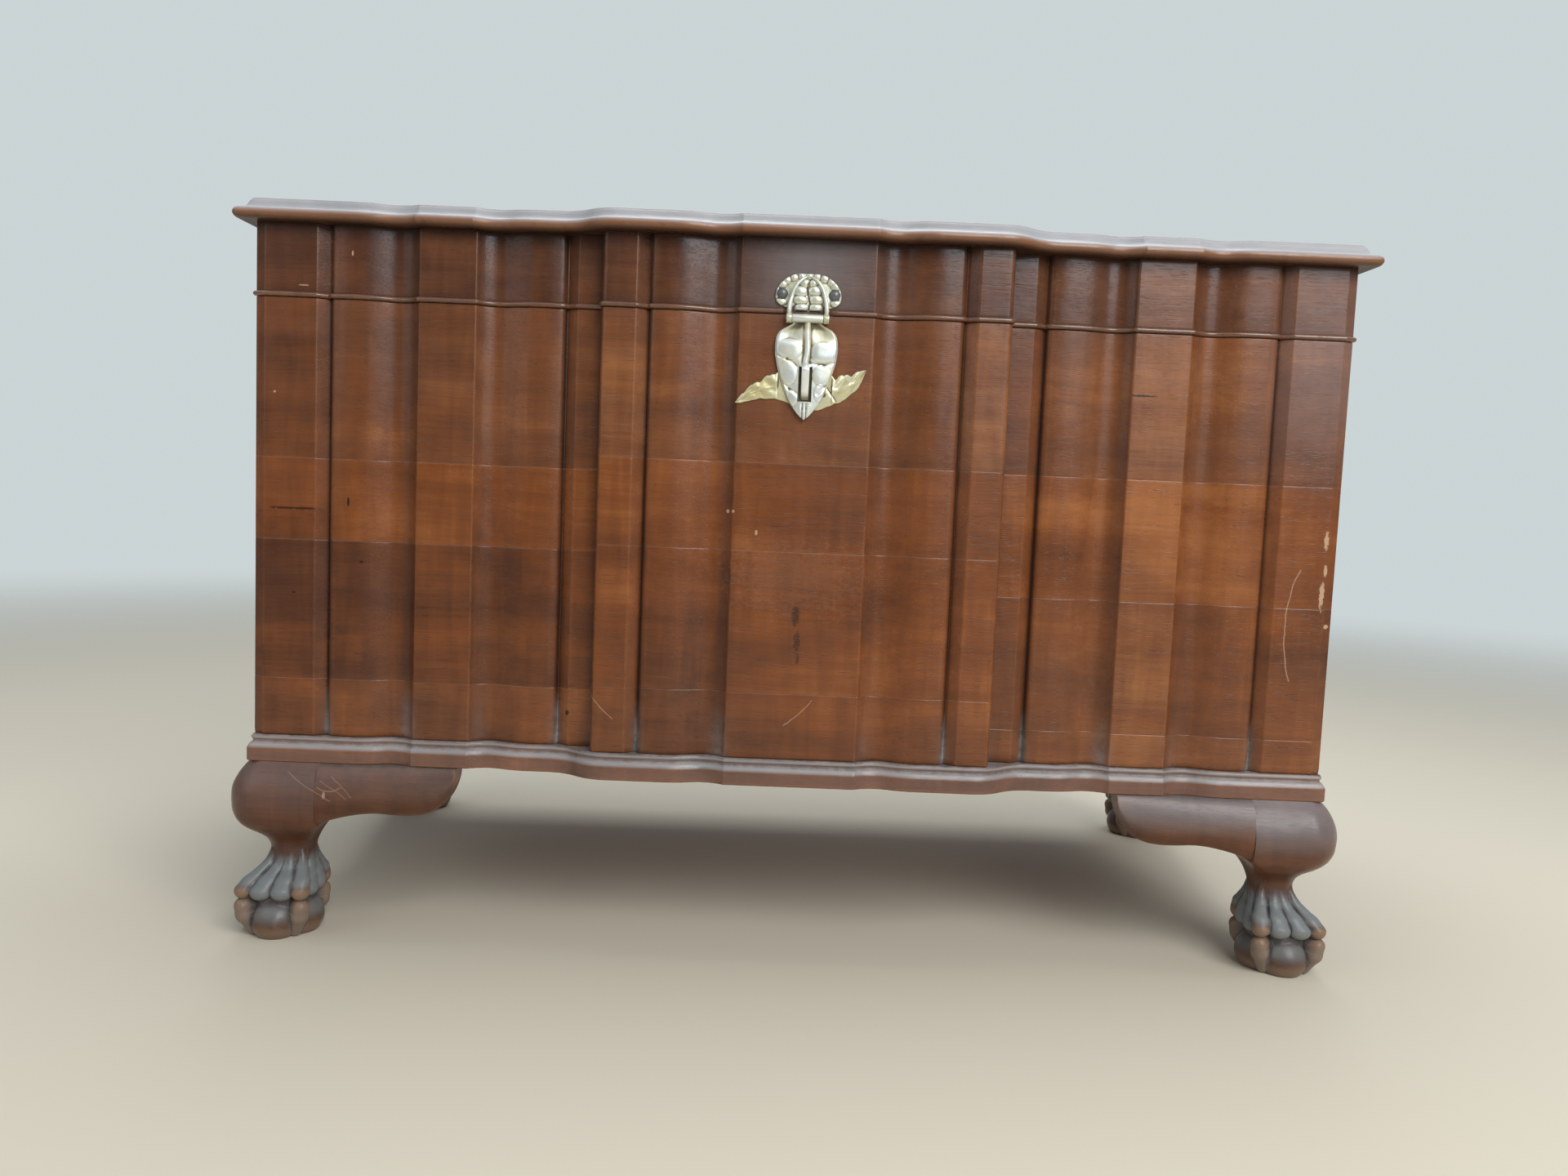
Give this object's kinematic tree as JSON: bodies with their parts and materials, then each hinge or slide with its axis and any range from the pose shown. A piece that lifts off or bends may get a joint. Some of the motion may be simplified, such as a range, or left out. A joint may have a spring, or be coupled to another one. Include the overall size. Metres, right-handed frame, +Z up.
{
  "type": "blanket chest",
  "caption": "Low wooden blanket chest with a waved breakfront, moulded hinged lid with beaded skirt, cast hasp, and four ball-and-claw feet.",
  "frame": {"origin": "middle of the footprint's box, at the floor", "axes": "+X to the right as seen from the front, +Y to the back, +Z up"},
  "size_m": [1.1182, 0.5851, 0.728],
  "materials": {
    "case_wood": "varnished red-brown hardwood, worn satin",
    "lid_wood": "varnished red-brown hardwood, worn satin",
    "leg_wood": "dark stained hardwood, rubbed at the edges",
    "plain_wood": "plain planed wood, unvarnished",
    "brass": "cast brass with a worn silvery plate",
    "screw_steel": "darkened steel"
  },
  "bodies": {
    "case": {"front_left_board_1": "case_wood", "front_left_board_2": "case_wood", "front_left_board_3": "case_wood", "front_left_board_4": "case_wood", "front_centre_board_1": "case_wood", "front_centre_board_2": "case_wood", "front_centre_board_3": "case_wood", "front_centre_board_4": "case_wood", "front_right_board_1": "case_wood", "front_right_board_2": "case_wood", "front_right_board_3": "case_wood", "front_right_board_4": "case_wood", "case_side_left": "case_wood", "case_side_right": "case_wood", "case_back": "plain_wood", "case_floor": "plain_wood", "base_front": "case_wood", "base_left": "case_wood", "base_right": "case_wood", "base_back": "plain_wood", "leg_front_left": "leg_wood", "leg_front_right": "leg_wood", "leg_back_left": "leg_wood", "leg_back_right": "leg_wood", "ear_front_left": "leg_wood", "ear_front_right": "leg_wood", "ear_side_front_left": "leg_wood", "ear_side_front_right": "leg_wood", "ear_side_back_left": "leg_wood", "ear_side_back_right": "leg_wood", "leg_dowels": "plain_wood", "hinge_left_case_leaf": "brass", "hinge_right_case_leaf": "brass", "hinge_pins": "screw_steel", "hinge_screws_case": "screw_steel", "catch_plate": "brass", "catch_plate_screws": "screw_steel", "hasp_staple": "brass"},
    "lid": {"lid_plank_1": "lid_wood", "lid_plank_2": "lid_wood", "lid_plank_3": "lid_wood", "lid_plank_4": "lid_wood", "skirt_front_left": "case_wood", "skirt_front_centre": "case_wood", "skirt_front_right": "case_wood", "skirt_left": "case_wood", "skirt_right": "case_wood", "skirt_back": "plain_wood", "bead_front": "case_wood", "bead_left": "case_wood", "bead_right": "case_wood", "lid_glue_blocks": "plain_wood", "lid_battens": "plain_wood", "hinge_left_lid_leaf": "brass", "hinge_right_lid_leaf": "brass", "hinge_screws_lid": "screw_steel", "hasp_lid_plate": "brass", "lid_plate_screws": "screw_steel", "hasp_pin": "screw_steel"},
    "hasp_flap": {"hasp_flap": "brass"}
  },
  "joints": [
    {"name": "lid_hinge", "type": "hinge", "parent": "case", "child": "lid", "pos_m": [0, 0.273, 0.6362], "axis": [-1, 0, 0], "range_deg": [0, 95]},
    {"name": "hasp_hinge", "type": "hinge", "parent": "lid", "child": "hasp_flap", "pos_m": [0, -0.2815, 0.632], "axis": [-1, 0, 0], "range_deg": [0, 152]}
  ],
  "couplings": [
    {"joint": "hasp_hinge", "follows": "lid_hinge", "ratio": 1.6}
  ]
}
